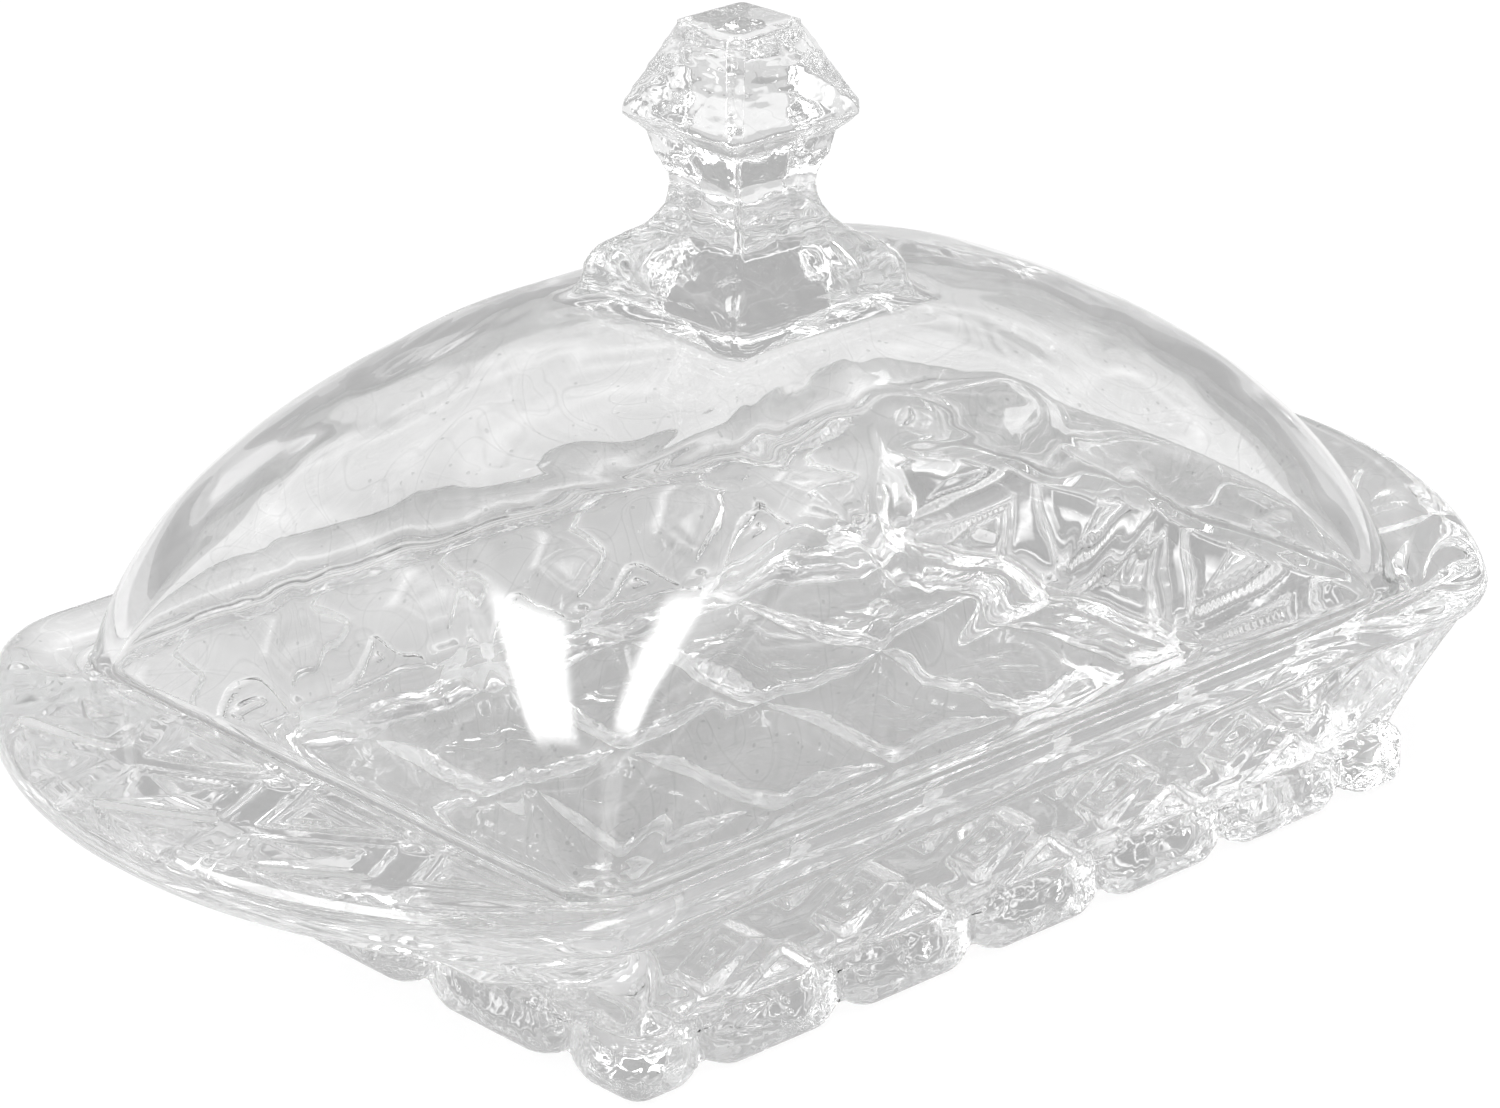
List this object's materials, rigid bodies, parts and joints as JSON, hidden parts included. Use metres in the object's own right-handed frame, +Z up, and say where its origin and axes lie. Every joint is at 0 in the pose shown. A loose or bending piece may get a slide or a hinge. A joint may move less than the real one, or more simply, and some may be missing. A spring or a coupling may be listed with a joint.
{
  "type": "butter dish",
  "caption": "Covered butter dish in clear pressed glass: a block-footed rectangular dish with bowed lips and a lift-off domed cover with a waisted square knob.",
  "frame": {"origin": "centre of the foot's underside, on the surface that the dish stands on", "axes": "+X along the dish's length, +Y across its width, +Z up along the knob"},
  "size_m": [0.1912, 0.1156, 0.101],
  "materials": {
    "dish_glass": "clear pressed glass, fire polished, with a moulded cross pattern on the outside",
    "cover_glass": "clear pressed glass, fire polished, slightly wavy, with a few fine seeds"
  },
  "bodies": {
    "dish": {"dish": "dish_glass"},
    "cover": {"cover": "cover_glass"}
  },
  "joints": [
    {"name": "cover_lift", "type": "slide", "parent": "dish", "child": "cover", "axis": [0, 0, 1], "range_m": [0, 0.12]}
  ]
}
